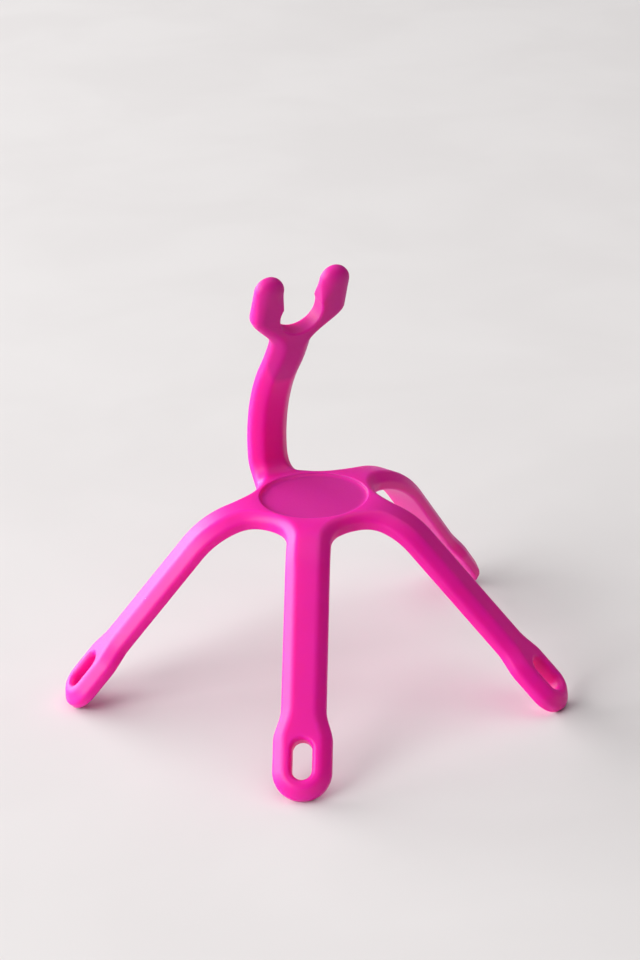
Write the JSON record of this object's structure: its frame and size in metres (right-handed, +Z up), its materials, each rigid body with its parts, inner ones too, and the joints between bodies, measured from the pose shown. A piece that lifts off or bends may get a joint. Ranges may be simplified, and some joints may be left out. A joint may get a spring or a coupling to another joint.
{
  "type": "flexible phone stand",
  "caption": "Flexible stand with bendable legs ending in slotted loops and a bendable forked arm that holds a phone by the grip on its back.",
  "frame": {"origin": "middle of the outline on the surface that the four feet stand on", "axes": "+Z up; -Y towards the front leg, the leg nearest the viewer in the picture; +X to the viewer's right"},
  "size_m": [0.1672, 0.1592, 0.1417],
  "materials": {
    "silicone": "satin moulded silicone, pink",
    "plate_steel": "plain stamped steel",
    "wire": "drawn soft wire"
  },
  "bodies": {
    "root": {"silicone_body": "silicone", "hub_plate": "plate_steel", "front_leg_wire": "wire", "right_leg_wire": "wire", "rear_leg_wire": "wire", "grip_arm_wire": "wire", "left_leg_wire": "wire"}
  },
  "joints": []
}
